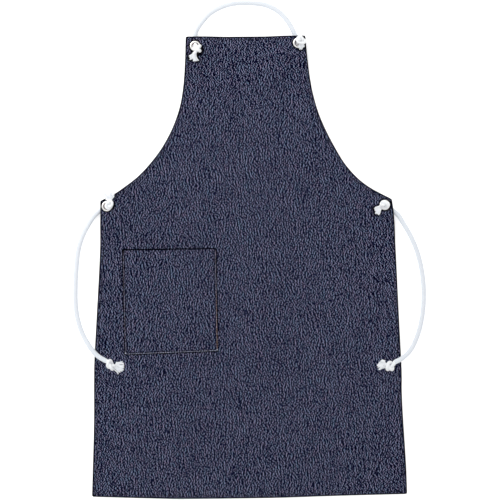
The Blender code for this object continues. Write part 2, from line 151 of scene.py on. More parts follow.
# ---- the cords ----
CORD_R = 0.0046
CORD_Z = 0.0047
ON_CLOTH_Z = 0.0078
KNOT_REST = 0.0002  # a knot's clearance over what it lies on
NECK_ROUTE = (
    (-0.0972, 0.456), (-0.0935, 0.465), (-0.085, 0.4778), (-0.0664, 0.4968), (-0.038, 0.5105),
    (-0.0062, 0.5155), (0.0312, 0.5128), (0.0534, 0.5052), (0.0695, 0.494), (0.0815, 0.4805),
    (0.09, 0.4665), (0.095, 0.456),
)
LEFT_TIE_ROUTE = (
    (-0.2925, 0.108), (-0.3056, 0.0914), (-0.32, 0.0642), (-0.3285, 0.037), (-0.3322, 0.0097),
    (-0.3342, -0.0176), (-0.3352, -0.0449), (-0.3346, -0.0722), (-0.3305, -0.0995),
    (-0.3215, -0.1269), (-0.308, -0.151), (-0.293, -0.169), (-0.2755, -0.18),
)
RIGHT_TIE_ROUTE = (
    (0.2925, 0.102), (0.303, 0.0861), (0.3185, 0.0587), (0.3298, 0.0313), (0.3372, 0.0039),
    (0.3415, -0.0235), (0.343, -0.0508), (0.342, -0.0781), (0.3383, -0.1053), (0.331, -0.1326),
    (0.318, -0.1605), (0.302, -0.1775), (0.285, -0.1868),
)
TIE_ROUTES = {"left": LEFT_TIE_ROUTE, "right": RIGHT_TIE_ROUTE}
TIE_CLIMB = (-0.120, -0.150)


def eyelet_centre(corner):
    """The middle of an eyelet, in plan."""
    low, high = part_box(f"{corner}_eyelet")
    return Vector(((low.x + high.x) / 2, (low.y + high.y) / 2))


EYELETS = {name: eyelet_centre(name) for name in CORNER_NAMES}


# ---- the stage ----


def new_object(name, data, location=(0.0, 0.0, 0.0)):
    """A new object in the scene."""
    obj = bpy.data.objects.new(name, data)
    obj.location = location
    bpy.context.scene.collection.objects.link(obj)
    return obj


def make_camera():
    """A long lens straight above the table."""
    data = bpy.data.cameras.new("camera")
    data.sensor_width = SENSOR
    data.lens = SENSOR * VIEW_HEIGHT / VIEW_WIDTH
    data.clip_end = 20.0
    camera = new_object("camera", data, (*VIEW_CENTRE, VIEW_HEIGHT))
    camera.rotation_euler = (0.0, 0.0, math.radians(VIEW_TURN))
    bpy.context.scene.camera = camera


def make_stage():
    """A white table, an even white sky, and one soft light from the upper left."""
    scene = bpy.context.scene
    scene.view_settings.view_transform = "Standard"
    world = bpy.data.worlds.new("studio")
    world.use_nodes = True
    sky = world.node_tree.nodes["Background"].inputs
    sky["Color"].default_value = WHITE
    sky["Strength"].default_value = SKY_STRENGTH
    scene.world = world

    lamp = bpy.data.lights.new("key", "AREA")
    lamp.size = LAMP_SIZE
    lamp.energy = LAMP_POWER
    key = new_object("key", lamp, LAMP_PLACE)
    key.rotation_euler = (-LAMP_PLACE).to_track_quat("-Z", "Y").to_euler()

    g = Graph("table_white")
    glow = {"Roughness": 0.9, "Emission Color": WHITE, "Emission Strength": TABLE_GLOW}
    g.surface((0.93, 0.93, 0.93, 1.0), glow)
    corners = [(x * TABLE_HALF, y * TABLE_HALF, 0.0) for x, y in ((-1, -1), (1, -1), (1, 1), (-1, 1))]
    table = mesh_object("table", corners, [(0, 1, 2, 3)], g.mat, smooth=False)
    table.location.z = -0.0001


# ---- small tools ----


def smoothstep(t):
    """0 below 0, 1 above 1, and smooth between. Takes numbers or arrays."""
    t = np.clip(t, 0.0, 1.0)
    return t * t * (3.0 - 2.0 * t)


def raised(x, y):
    """How far the cloth is lifted at a place, from 0 on the table to 1 at a raised corner."""
    height = np.zeros(np.shape(x))
    for edge_x, edge_y in (BIB_RAISED, WAIST_RAISED):
        across = smoothstep((np.abs(x) - edge_x + SLOPE) / SLOPE)
        along = smoothstep((y - edge_y + SLOPE) / SLOPE)
        height = np.maximum(height, across * along)
    return height


def mesh_object(name, verts, faces, mat, smooth=True):
    """A new mesh object from arrays of vertices and faces."""
    mesh = bpy.data.meshes.new(name)
    mesh.from_pydata([tuple(v) for v in verts], [], [tuple(f) for f in faces])
    mesh.materials.append(mat)
    if smooth:
        mesh.polygons.foreach_set("use_smooth", [True] * len(mesh.polygons))
    mesh.update()
    return new_object(name, mesh)


def attach(obj, body, slot, *nodes):
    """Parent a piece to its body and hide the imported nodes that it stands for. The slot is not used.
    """
    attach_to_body(obj, body)
    if nodes:
        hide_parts(*nodes)


def set_attribute(obj, name, values):
    """A number on each vertex, for the materials."""
    attribute = obj.data.attributes.new(name, "FLOAT", "POINT")
    attribute.data.foreach_set("value", np.asarray(values, np.float32))


def lengths_along(points):
    """How far along a polyline each of its points is."""
    return np.concatenate([[0.0], np.cumsum(norm(np.diff(points, axis=0), axis=1))])


def spread_out(points, count):
    """A number of evenly spaced points along a polyline, and how far along it each is."""
    along = lengths_along(points)
    at = np.linspace(0.0, along[-1], count)
    return np.stack([np.interp(at, along, column) for column in points.T], 1), at


def resample(points, spacing):
    """Points about a spacing apart along a polyline, with both ends."""
    points = np.asarray(points, float)
    return spread_out(points, max(2, int(round(lengths_along(points)[-1] / spacing)) + 1))[0]


def smooth_curve(knots, per_span=12):
    """A smooth curve (Catmull-Rom) through a route's points."""
    knots = np.asarray(knots, float)
    ends = np.concatenate([[2 * knots[0] - knots[1]], knots, [2 * knots[-1] - knots[-2]]])
    points = [knots[0]]
    for a, b, c, d in zip(ends, ends[1:], ends[2:], ends[3:]):
        for i in range(1, per_span + 1):
            t = i / per_span
            points.append(
                0.5 * (2 * b + (c - a) * t + (2 * a - 5 * b + 4 * c - d) * t**2
                       + (3 * b - a - 3 * c + d) * t**3)
            )
    return np.array(points)


def ring_points(centre, side, up, radius, around):
    """A ring of points round a centre, in the plane of two directions."""
    turns = (math.tau * k / around for k in range(around))
    return [centre + (side * math.cos(a) + up * math.sin(a)) * radius for a in turns]


def tube_faces(rows, around, base=0):
    """The faces of a closed tube: quads between its rings of vertices, and a cap at each end."""
    faces = []
    for row in range(rows - 1):
        for k in range(around):
            a, b = base + row * around + k, base + row * around + (k + 1) % around
            faces.append((a, b, b + around, a + around))
    faces.append(tuple(base + k for k in reversed(range(around))))
    faces.append(tuple(base + (rows - 1) * around + k for k in range(around)))
    return faces


# ---- materials ----


class Graph:
    """Short ways to add nodes to a material."""

    def __init__(self, name):
        self.mat = bpy.data.materials.new(name)
        self.mat.use_nodes = True
        self.tree = self.mat.node_tree
        self.shader = self.tree.nodes["Principled BSDF"]

    def node(self, kind, inputs=(), **settings):
        """A node with its settings, and with its inputs linked or set in order."""
        node = self.tree.nodes.new(f"ShaderNode{kind}")
        for key, value in settings.items():
            setattr(node, key, value)
        for socket, value in dict(inputs).items():
            self.feed(node.inputs[socket], value)
        return node

    def feed(self, socket, value):
        """Link or set one socket."""
        if isinstance(value, bpy.types.NodeSocket):
            self.tree.links.new(value, socket)
        else:
            socket.default_value = value

    def math(self, operation, a, b=0.0, c=0.0):
        """One sum on up to three numbers."""
        return self.node("Math", {0: a, 1: b, 2: c}, operation=operation).outputs[0]

    def times(self, a, b):
        """A product."""
        return self.math("MULTIPLY", a, b)

    def place(self):
        """Where a point is, in the object's own frame."""
        return self.node("TexCoord").outputs["Object"]

    def split(self, vector):
        """A vector's first two parts."""
        node = self.node("SeparateXYZ", {0: vector})
        return node.outputs[0], node.outputs[1]

    def attribute(self, name):
        """A number that the mesh carries on each vertex."""
        return self.node("Attribute", attribute_name=name).outputs["Fac"]

    def surface(self, colour, values):
        """The surface's colour, and its other inputs by name."""
        for name, value in {"Base Color": colour, **values}.items():
            self.feed(self.shader.inputs[name], value)

    def vector(self, x, y=0.0, z=0.0):
        """A vector from three numbers."""
        return self.node("CombineXYZ", {0: x, 1: y, 2: z}).outputs[0]

    def noise(self, place, scale, detail=2.0, rough=0.5):
        """A noise from about 0.2 to 0.8."""
        inputs = {"Vector": place, "Scale": scale, "Detail": detail, "Roughness": rough}
        return self.node("TexNoise", inputs).outputs["Fac"]

    def ramp(self, value, stops):
        """A number turned into a colour or a level by a list of (place, colour) stops."""
        node = self.node("ValToRGB", {"Fac": value})
        elements = node.color_ramp.elements
        stops = list(stops)
        while len(elements) < len(stops):
            elements.new(0.5)
        for element, (place, colour) in zip(elements, stops):
            element.position = place
            element.color = (*colour, 1.0) if hasattr(colour, "__len__") else (colour,) * 3 + (1.0,)
        return node.outputs["Color"]

    def mix(self, factor, a, b, blend="MIX"):
        """A mix of two colours."""
        inputs = {"Factor": factor, "A": a, "B": b}
        node = self.node("Mix", inputs, data_type="RGBA", blend_type=blend)
        return node.outputs["Result"]

    def bump(self, height, distance, strength):
        """A bump from a height that runs from 0 to 1 over a distance in metres."""
        inputs = {"Height": height, "Distance": distance, "Strength": strength}
        node = self.node("Bump", inputs)
        self.feed(self.shader.inputs["Normal"], node.outputs["Normal"])


YARN = 0.00098  # width of a warp yarn
PICK = 0.00092  # height of a weft pick
FLECK_SPACING = 0.0050  # from one pale fleck to the next, across the cloth
FLECK_LENGTH = 0.0018
FLECK_WAVES = 1.22  # how evenly the flecks take turns
WANDER = 0.0005
PALENESS = 0.02  # of the cloth's middle tone, then how strongly each pattern shows
FLECK_GAIN, LONG_GAIN, SLUB_GAIN, STREAK_GAIN, SPECK_GAIN = 11.0, 2.0, 3.1, 0.5, 2.5
# The colour of the painted shade on the cloth, near black.
PAINTED_SHADE_COLOUR = (0.0010, 0.0009, 0.0025, 1.0)
INDIGO = (
    (0.00, (0.0001, 0.0002, 0.0083)),
    (0.25, (0.0007, 0.0010, 0.0160)),
    (0.50, (0.0043, 0.0058, 0.0375)),
    (0.75, (0.0233, 0.0280, 0.0865)),
    (1.00, (0.1950, 0.2140, 0.3260)),
)


def denim_material(name, shift=0.0, turn=0.0):
    """Slub denim: dark warp yarns with short pale flecks, in a twill with an indigo weft."""
    g = Graph(name)
    moved = {"Vector": g.place(), "Location": (shift, 0.7 * shift, 0.0), "Rotation": (0.0, 0.0, turn)}
    place = g.node("Mapping", moved).outputs[0]
    x, y = g.split(place)

    # The yarns run up the cloth, and wander a little.
    wander = g.times(g.math("SUBTRACT", g.noise(place, 25.0, 1.0), 0.5), WANDER)
    across = g.math("DIVIDE", g.math("ADD", x, wander), YARN)
    yarn = g.math("FLOOR", across)
    pair = g.math("FLOOR", g.times(across, 0.5))
    up = g.math("DIVIDE", y, PICK)

    def bands(length, start=0.0):
        """Bands of pale and dark along each yarn, which take turns across the cloth."""
        side = g.times(yarn, YARN / (FLECK_WAVES * FLECK_SPACING))
        waves = {"Vector": g.vector(side, g.math("DIVIDE", y, length), start), "Scale": 1.0,
                 "Frequency": FLECK_WAVES, "Anisotropy": 1.0, "Orientation": 0.0}
        return g.node("TexGabor", waves).outputs["Value"]

    def patches(lane, spread, scale, detail=1.0, rough=0.5):
        """Noise along the yarns, with no likeness from one lane to the next."""
        return g.noise(g.vector(g.times(lane, spread), g.times(y, scale)), 1.0, detail, rough)

    slub = patches(pair, 7.31, 560.0, 1.0, 0.6)
    level = g.math("MULTIPLY_ADD", bands(FLECK_LENGTH), FLECK_GAIN, PALENESS - FLECK_GAIN / 2)
    for value, gain in (
        (bands(12.0 * FLECK_LENGTH, 3.3), LONG_GAIN),
        (slub, SLUB_GAIN),
        (patches(pair, 3.7, 60.0), STREAK_GAIN),
        (patches(yarn, 5.13, 700.0, 0.0), SPECK_GAIN),
    ):
        level = g.math("MULTIPLY_ADD", value, gain, g.math("SUBTRACT", level, gain / 2))
    tints = ((0.3, (1.20, 0.925, 0.95)), (0.7, (0.82, 1.050, 1.04)))
    dye = g.ramp(patches(pair, 2.9, 85.0), tints)
    colour = g.mix(1.0, g.ramp(level, INDIGO), dye, "MULTIPLY")

    # The twill: each warp yarn is round, and dips under the weft at every third pick, one step
    # over on each row.
    phase = g.math("FLOORED_MODULO", g.math("ADD", yarn, g.math("FLOOR", up)), 3.0)
    weft = g.math("LESS_THAN", phase, 0.5)
    dome, rib = (g.math("SINE", g.times(g.math("FRACT", part), math.pi)) for part in (across, up))
    height = g.math("MULTIPLY_ADD", dome, 0.55, g.times(slub, 0.4))
    height = g.math("MULTIPLY_ADD", weft, g.times(rib, 0.35), height)
    # Painted shade and highlight from the weave's relief: darker in the dips between the yarns,
    # lighter on their tops and on the weft's ribs.
    shade = g.ramp(height, ((0.15, (0.45, 0.45, 0.50)), (0.70, (1.12, 1.12, 1.10))))
    colour = g.mix(0.8, colour, shade, "MULTIPLY")
    # Painted shade: the cloth darkens towards near black by the mesh's shade value, along its edges
    # and seams and round the eyelets and knots.
    colour = g.mix(g.attribute("painted_shade"), colour, PAINTED_SHADE_COLOUR)
    g.surface(colour, {"Roughness": 0.88, "Specular IOR Level": 0.02})
    g.bump(height, 0.0003, 0.6)
    return g.mat


def thread_material(name, colours, faded=None):
    """Sewing thread in two tones. It may be faded towards another two further up the cloth."""
    g = Graph(name)
    place = g.place()
    tone = g.noise(place, 350.0, 2.0)
    colour = g.ramp(tone, zip((0.35, 0.65), colours))
    if faded is not None:
        reach = {"Value": g.split(place)[1], "From Min": -0.11, "From Max": -0.02}
        share = g.node("MapRange", reach).outputs[0]
        colour = g.mix(share, colour, g.ramp(tone, zip((0.35, 0.65), faded)))
    g.surface(colour, {"Roughness": 0.6, "Sheen Weight": 0.2})
    g.bump(g.noise(place, 2500.0, 1.0), 0.0001, 0.6)
    return g.mat


def cord_material(name, lift=0.0):
    """White braided cotton: fine yarns along each strand, with painted shade, a little grey, between
    the strands. Its lift paints the whole cord lighter.
    """
    g = Graph(name)
    around, along = g.split(g.node("UVMap", uv_map="braid").outputs["UV"])
    tone = g.noise(g.place(), 120.0, 3.0)
    fibre = g.noise(g.vector(g.times(around, 40.0), g.times(along, 5.0)), 1.0, 2.0)
    # Painted shade: the colour turns grey where the braid's relief is low, between the strands.
    level = g.math("ADD", g.times(g.attribute("relief"), 0.55), g.times(tone, 0.25))
    level = g.math("ADD", level, g.times(fibre, 0.25))
    # Painted light: lift brightens the whole cord's colour.
    level = g.math("ADD", level, lift)
    colour = g.ramp(level, (
        (0.05, (0.42, 0.46, 0.55)),
        (0.40, (0.70, 0.745, 0.81)),
        (0.80, (0.83, 0.865, 0.91)),
        (1.00, (0.95, 0.96, 0.97)),
    ))
    g.surface(colour, {"Roughness": 0.85, "Specular IOR Level": 0.2, "Sheen Weight": 0.25})
    g.bump(fibre, 0.00025, 0.6)
    return g.mat


def yarn_material(name):
    """Loose cotton yarns at a cut end."""
    g = Graph(name)
    place = g.place()
    tone = g.noise(place, 260.0, 3.0)
    colour = g.ramp(tone, ((0.30, (0.79, 0.83, 0.88)), (0.70, (0.94, 0.95, 0.965))))
    g.surface(colour, {"Roughness": 0.9, "Sheen Weight": 0.3})
    g.bump(g.noise(place, 2200.0, 2.0), 0.0001, 0.7)
    return g.mat


def nickel_material(name, roughness):
    """Nickel plate with faint marks from the press and from handling, and a painted brown shade in the
    bore.
    """
    g = Graph(name)
    place = g.place()
    marks = g.noise(place, 900.0, 4.0, 0.7)
    plate = ((0.3, (0.93, 0.92, 0.90)), (0.7, (0.99, 0.985, 0.98)))
    # Painted shade: the bore is tinted dark brown.
    tint = g.mix(g.attribute("depth"), g.ramp(g.noise(place, 150.0), plate), (0.16, 0.070, 0.055, 1.0))
    spread = {"Value": marks, "To Min": roughness - 0.06, "To Max": roughness + 0.12}
    rough = g.node("MapRange", spread).outputs[0]
    g.surface(tint, {"Metallic": 1.0, "Roughness": rough})
    g.bump(marks, 0.00004, 0.5)
    return g.mat


# ---- sheets of cloth ----


def panel_outline():
    """The panel's outline, anticlockwise from the left foot corner."""
    corners = (*FOOT_CORNERS, WAIST_CORNERS[1], *BIB_CORNERS[::-1], WAIST_CORNERS[0], FOOT_CORNERS[0])
    between = (FOOT_EDGE, RIGHT_EDGE, RIGHT_ARMHOLE, (), LEFT_ARMHOLE, LEFT_EDGE)
    edges = [(start, *points, end) for start, points, end in zip(corners, between, corners[1:])]
    return np.concatenate([smooth_curve(edge, 8 if len(edge) > 2 else 1)[:-1] for edge in edges])


def soft_ring(points, radius, spacing, steps=4):
    """A closed polyline with its sharp corners rounded off, and its points evenly spaced."""
    out = []
    for a, b, c in zip(np.roll(points, 1, 0), points, np.roll(points, -1, 0)):
        into = (b - a) / norm(b - a)
        away = (c - b) / norm(c - b)
        if into @ away > 0.9:
            out.append(b)
            continue
        start, end = b - into * radius, b + away * radius
        for t in np.arange(steps + 1) / steps:
            out.append((1 - t) ** 2 * start + 2 * t * (1 - t) * b + t * t * end)
    return resample(np.array([*out, out[0]]), spacing)[:-1]


CHUNK = 1500  # points measured at once


def edge_distance(points, ring):
    """Each point's distance to a closed polyline, and how far round that the nearest place is."""
    d = np.roll(ring, -1, 0) - ring
    lengths = norm(d, axis=1)
    along = np.concatenate([[0.0], np.cumsum(lengths)[:-1]])
    best, where = np.empty((2, len(points)))
    for low in range(0, len(points), CHUNK):
        p = points[low:low + CHUNK, None, :]
        t = np.clip(((p - ring) * d).sum(2) / (lengths**2), 0.0, 1.0)
        gap = norm(p - (ring + t[..., None] * d), axis=2)
        near = gap.argmin(1)
        rows = np.arange(len(near))
        best[low:low + CHUNK] = gap[rows, near]
        where[low:low + CHUNK] = along[near] + t[rows, near] * lengths[near]
    return best, where


def inside_ring(points, ring):
    """Which points are inside a closed polyline."""
    x, y = points[:, 0], points[:, 1]
    inside = np.zeros(len(points), bool)
    for (x0, y0), (x1, y1) in zip(ring, np.roll(ring, -1, 0)):
        if y0 == y1:
            continue
        crosses = (y0 > y) != (y1 > y)
        inside ^= crosses & (x < (x1 - x0) * (y - y0) / (y1 - y0) + x0)
    return inside


def inward(ring, offset):
    """A closed polyline's points moved inwards, without those that a corner brings too near."""
    normal = np.roll(ring, -1, 0) - np.roll(ring, 1, 0)
    normal = np.stack([-normal[:, 1], normal[:, 0]], 1)
    normal /= norm(normal, axis=1)[:, None]
    row = ring + normal * offset
    return row[edge_distance(row, ring)[0] > offset - 0.00003]


def grid_points(xs, ys):
    """The points of a grid in plan."""
    return np.stack(np.meshgrid(xs, ys), -1).reshape(-1, 2)


HOLE_ROWS = (0.0, 0.0012, 0.003, 0.0042, 0.0055)  # from a hole's edge to each ring of points
HOLE_STEPS = 32
FINE_START = 0.0062  # from a hole's edge to the first of the closer points
FINE_GRID = 0.0013


def cloth_plan(ring, offsets, grid, holes=(), close=0.0):
    """A sheet's plan: points and triangles, with rings of points along its edge and round its holes,
    and closer points within a distance of the holes."""
    turn = np.linspace(0.0, math.tau, HOLE_STEPS, endpoint=False)
    circle = np.stack([np.cos(turn), np.sin(turn)], 1)
    points = [ring, *(inward(ring, offset) for offset in offsets)]
    points += [circle * (radius + grow) + centre for centre, radius in holes for grow in HOLE_ROWS]
    edges, total = [], 0
    for row in points:
        index = np.arange(len(row))
        edges += (np.stack([index, np.roll(index, -1)], 1) + total).tolist()
        total += len(row)
    low, high = ring.min(0), ring.max(0)
    field = grid_points(np.arange(low[0], high[0], grid), np.arange(low[1], high[1], grid))
    field = field[inside_ring(field, ring)]
    keep = edge_distance(field, ring)[0] > offsets[-1] + 0.4 * grid
    for centre, radius in holes:
        reach = max(radius + HOLE_ROWS[-1], close) + 0.4 * grid
        keep &= norm(field - centre, axis=1) > reach
    points.append(field[keep])
    steps = np.arange(-close, close, FINE_GRID)
    square = grid_points(steps, steps)
    size = norm(square, axis=1)
    for centre, radius in holes if close else ():
        near = square[(size > radius + FINE_START) & (size < close)] + centre
        near = near[inside_ring(near, ring)]
        points.append(near[edge_distance(near, ring)[0] > offsets[2] + 0.0004])
    flat = [Vector(p) for p in np.concatenate(points)]
    result = delaunay_2d_cdt(flat, edges, [], 0, 1e-7)
    plan = np.array([tuple(v) for v in result[0]])
    faces = np.array(result[2])
    middle = plan[faces].mean(1)
    keep = inside_ring(middle, ring)
    for centre, radius in holes:
        keep &= norm(middle - centre, axis=1) > radius * 0.98
    return plan, faces[keep]


def make_sheet(name, plan, faces, bottom, top, mat, painted_shade=None):
    """A closed sheet between two heights over the same plan, which meet along its edges. It may carry
    a painted shade at each point, which darkens its edges, seam grooves and the cloth round the
    eyelets and knots."""
    corners = faces[:, [0, 1, 1, 2, 2, 0]].reshape(-1, 2)
    pairs, counts = np.unique(np.sort(corners, 1), axis=0, return_counts=True)
    rim = np.zeros(len(plan), bool)
    rim[pairs[counts == 1].ravel()] = True
    used = np.zeros(len(plan), bool)
    used[faces.ravel()] = True
    upper = np.full(len(plan), -1)
    upper[used] = np.arange(used.sum())
    lower = upper.copy()
    inner = used & ~rim
    lower[inner] = used.sum() + np.arange(inner.sum())
    height = np.where(rim, (bottom + top) / 2, top)
    verts = np.concatenate([
        np.column_stack([plan[used], height[used]]),
        np.column_stack([plan[inner], bottom[inner]]),
    ])
    area = np.cross(plan[faces[:, 1]] - plan[faces[:, 0]], plan[faces[:, 2]] - plan[faces[:, 0]])
    faces = np.where(area[:, None] > 0, faces, faces[:, ::-1])
    quads = np.concatenate([upper[faces], lower[faces][:, ::-1]])
    sheet = mesh_object(name, verts, quads, mat)
    if painted_shade is not None:
        set_attribute(sheet, "painted_shade", np.concatenate([painted_shade[used], painted_shade[inner]]))
    return sheet


def waves(x, y, seed, reach, height):
    """A gentle unevenness, from 0 up to about a height, with waves about a reach long."""
    random = np.random.default_rng(seed)
    total = np.zeros(np.shape(x))
    for _ in range(9):
        angle, phase, size = random.uniform(0, math.tau, 3)
        wave = math.tau / (reach * (0.6 + 0.8 * size / math.tau))
        total += np.sin((x * math.cos(angle) + y * math.sin(angle)) * wave + phase)
    return height * (0.5 + total / 12)


def bumps_along(s, seed, pitch):
    """Smooth random heights from -1 to 1 at places along an edge."""
    random = np.random.default_rng(seed)
    count = 4096
    levels = random.uniform(-1.0, 1.0, count)
    at = s / pitch
    cell = np.floor(at).astype(int)
    t = smoothstep(at - cell)
    return levels[cell % count] * (1 - t) + levels[(cell + 1) % count] * t


def hump(at, middle, width):
    """A smooth hump, 1 high at its middle."""
    return np.exp(-((at - middle) / width) ** 2)


def rounded(bottom, top, far, radius):
    """A sheet's underside and face, drawn together in a round edge."""
    share = np.sqrt(np.clip(1.0 - (1.0 - np.minimum(far / radius, 1.0)) ** 2, 0.0, 1.0))
    middle = (top + bottom) / 2
    half = (top - bottom) / 2 * share
    return middle - half, middle + half


PANEL_RING = soft_ring(panel_outline(), 0.0022, 0.0038)


def panel_heights(x, y, far, round_at):
    """The panel's underside and face at a place, from its distance in from the edge."""
    lift = raised(x, y)
    base = LIFT * lift + waves(x, y, 11, 0.24, 0.0014) * (1.0 - lift)
    pucker = bumps_along(round_at, 3, 0.0085) * hump(far, HEM_SEAM, 0.006)
    extra = HEM_EXTRA * (1.0 - lift) * (1.0 - smoothstep((far - HEM_WIDTH) / HEM_SETTLE))
    top = base + CLOTH + extra * (0.86 + 0.14 * (far < HEM_WIDTH))
    top += PUCKER * pucker - GROOVE * hump(far, HEM_SEAM, GROOVE_WIDTH)
    bottom = base + extra * smoothstep((far - HEM_WIDTH) / 0.0006)
    return rounded(bottom, top, far, FOLD_R)


def panel_top(points):
    """The height of the panel's face at places in plan."""
    points = np.asarray(points, float).reshape(-1, 2)
    far, at = edge_distance(points, PANEL_RING)
    return panel_heights(points[:, 0], points[:, 1], far, at)[1]


def painted_contact_shade(points):
    """Painted contact shade on the cloth round the eyelets, their knots and the knots' frayed ends: 1
    beside them, down to 0.
    """
    shade = np.zeros(len(points))
    for corner, fit in STOPPERS.items():
        outline = np.array([fit["root"], *fit["ends"]])
        gap, _ = edge_distance(points, outline)
        gap[inside_ring(points, outline)] = 0.0
        for centre, radius in ((EYELETS[corner], FLANGE_R), (fit["knot"], 1.75 * fit["strand"])):
            gap = np.minimum(gap, norm(points - np.array(centre), axis=1) - radius)
        shade = np.maximum(shade, 0.97 * (1.0 - smoothstep((gap - 0.0014) / 0.0018)))
    return shade


def make_panel(mat):
    """The apron's front panel, and its area."""
    holes = [(np.array(EYELETS[name]), HOLE_R) for name in CORNER_NAMES]
    plan, faces = cloth_plan(PANEL_RING, HEM_ROWS, PANEL_GRID, holes, NEAR_EYELET)
    far, at = edge_distance(plan, PANEL_RING)
    bottom, top = panel_heights(*plan.T, far, at)
    # Painted shade: a near-black band along the cloth's edge, and a fainter line along the hem's
    # stitch groove.
    painted_shade = 1.0 - smoothstep((far - 0.0018) / 0.0014) + 0.50 * hump(far, HEM_SEAM, GROOVE_WIDTH)
    # Painted contact shade round the eyelets, the stopper knots and their frayed ends.
    painted_shade = np.maximum(painted_shade, painted_contact_shade(plan))
    panel = make_sheet("denim_panel", plan, faces, bottom, top, mat, painted_shade)
    attach(panel, "apron", "denim", "apron_panel")
    x, y = PANEL_RING.T
    return panel, float(0.5 * abs(np.dot(x, np.roll(y, -1)) - np.dot(y, np.roll(x, -1))))


# ---- the pocket's cloth ----

FOOT_LEFT, FOOT_RIGHT, MOUTH_RIGHT, MOUTH_LEFT = (np.array(p) for p in POCKET_CORNERS)


def pocket_uv(points):
    """Each point's place across and up the pocket, from 0 to 1."""
    v = (points[:, 1] - FOOT_LEFT[1]) / (MOUTH_LEFT[1] - FOOT_LEFT[1])
    for _ in range(3):
        left = FOOT_LEFT + (MOUTH_LEFT - FOOT_LEFT) * v[:, None]
        right = FOOT_RIGHT + (MOUTH_RIGHT - FOOT_RIGHT) * v[:, None]
        u = (points[:, 0] - left[:, 0]) / (right[:, 0] - left[:, 0])
        low = FOOT_LEFT[1] + (FOOT_RIGHT[1] - FOOT_LEFT[1]) * u
        high = MOUTH_LEFT[1] + (MOUTH_RIGHT[1] - MOUTH_LEFT[1]) * u
        v = (points[:, 1] - low) / (high - low)
    return u, v


POCKET_RING = soft_ring(np.array(POCKET_CORNERS), 0.0018, 0.0035)


def pocket_heights(plan):
    """The pocket's underside and face, over the panel's, and the distances in from its whole edge
    and from its sewn sides."""
    width = norm(MOUTH_RIGHT - MOUTH_LEFT)
    depth = norm(MOUTH_LEFT - FOOT_LEFT)
    u, v = pocket_uv(plan)
    far, at = edge_distance(plan, POCKET_RING)
    seam_u, seam_v = POCKET_SEAM / width, POCKET_SEAM / depth
    inner_u = np.clip((u - seam_u) / (1 - 2 * seam_u), 0.0, 1.0)
    inner_v = np.clip((v - seam_v) / (1 - seam_v), 0.0, 1.0)
    bulge = POCKET_GAPE * (1 - np.abs(2 * inner_u - 1) ** 3) * (1 - (1 - inner_v) ** 2)
    base = panel_top(plan) + POCKET_GAP + bulge
    base += waves(*plan.T, 5, 0.09, 0.0012) * np.clip(bulge / 0.004, 0.0, 1.0)
    from_mouth = (1.0 - v) * depth
    sides = np.minimum(np.minimum(u, 1 - u) * width, v * depth)
    doubled = 1.0 - smoothstep((from_mouth - POCKET_HEM) / 0.001)
    turned_in = 1.0 - smoothstep((sides - POCKET_TURNED) / 0.001)
    pucker = bumps_along(at, 9, 0.009) * hump(sides, POCKET_STITCHES, 0.005)
    top = base + CLOTH + POCKET_EXTRA * np.maximum(doubled, turned_in) + POCKET_PUCKER * pucker
    top -= GROOVE * hump(sides, POCKET_STITCHES, 0.0006) * (from_mouth > 0.002)
    return *rounded(base, top, far, POCKET_FOLD_R), far, sides


def make_pocket(mat):
    """The patch pocket."""
    plan, faces = cloth_plan(POCKET_RING, POCKET_ROWS, POCKET_GRID)
    bottom, top, far, sides = pocket_heights(plan)
    sewn = far > sides - 0.0005
    # Painted shade: a near-black band along the pocket's edge, wider at the mouth, and a dark line
    # just inside the stitches of its sewn sides.
    painted_shade = 1.0 - smoothstep((far - np.where(sewn, 0.0016, 0.0024)) / 0.0007)
    painted_shade = np.clip(painted_shade + 0.85 * hump(sides, 0.0049, 0.0008) * sewn, 0.0, 1.0)
    pocket = make_sheet("denim_pocket", plan, faces, bottom, top, mat, painted_shade)
    attach(pocket, "apron", "denim", "patch_pocket")
    return pocket


# ---- backing patches ----


def make_backing_patch(corner, mat):
    """The second layer of cloth behind an eyelet, with the eyelet's hole in it."""
    points = np.array(BIB_PATCH if corner.startswith("bib") else WAIST_PATCH)
    if corner.endswith("left"):
        points = (points * (-1.0, 1.0))[::-1]
    low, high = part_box(f"{corner}_backing_patch")
    ring = soft_ring(points, 0.0012, 0.0014)
    holes = [(np.array(EYELETS[corner]), PATCH_HOLE)]
    plan, faces = cloth_plan(ring, (0.0002, 0.0006, 0.0014), 0.003, holes)
    soft = 0.0003 * (1.0 - np.minimum(edge_distance(plan, ring)[0] / 0.0006, 1.0)) ** 2
    patch = make_sheet(f"{corner}_denim_patch", plan, faces, low.z + soft, high.z - soft, mat)
    attach(patch, "apron", "denim", f"{corner}_backing_patch")


# ---- stitches ----

# Along a stitch: the place as a share of its length, and the width as a share of its radius
STITCH_SHAPE = ((-0.5, 0.25), (-0.42, 0.75), (-0.2, 1.0), (0.2, 1.0), (0.42, 0.75), (0.5, 0.25))
STITCH_SIDES = 6


def sew(name, places, length, radius, mat, *nodes):
    """A row of short rounded threads, each with a middle and a direction in space."""
    verts, faces = [], []
    for middle, direction in places:
        direction = direction / norm(direction)
        side = np.cross((0.0, 0.0, 1.0), direction)
        side /= norm(side)
        up = np.cross(direction, side)
        faces += tube_faces(len(STITCH_SHAPE), STITCH_SIDES, len(verts))
        for out, wide in STITCH_SHAPE:
            sink = -1.6 * radius * (abs(out) / 0.5) ** 3
            centre = middle + direction * length * out + up * sink
            verts += ring_points(centre, side, up, radius * wide, STITCH_SIDES)
    attach(mesh_object(name, verts, faces, mat), "apron", "thread", *nodes)


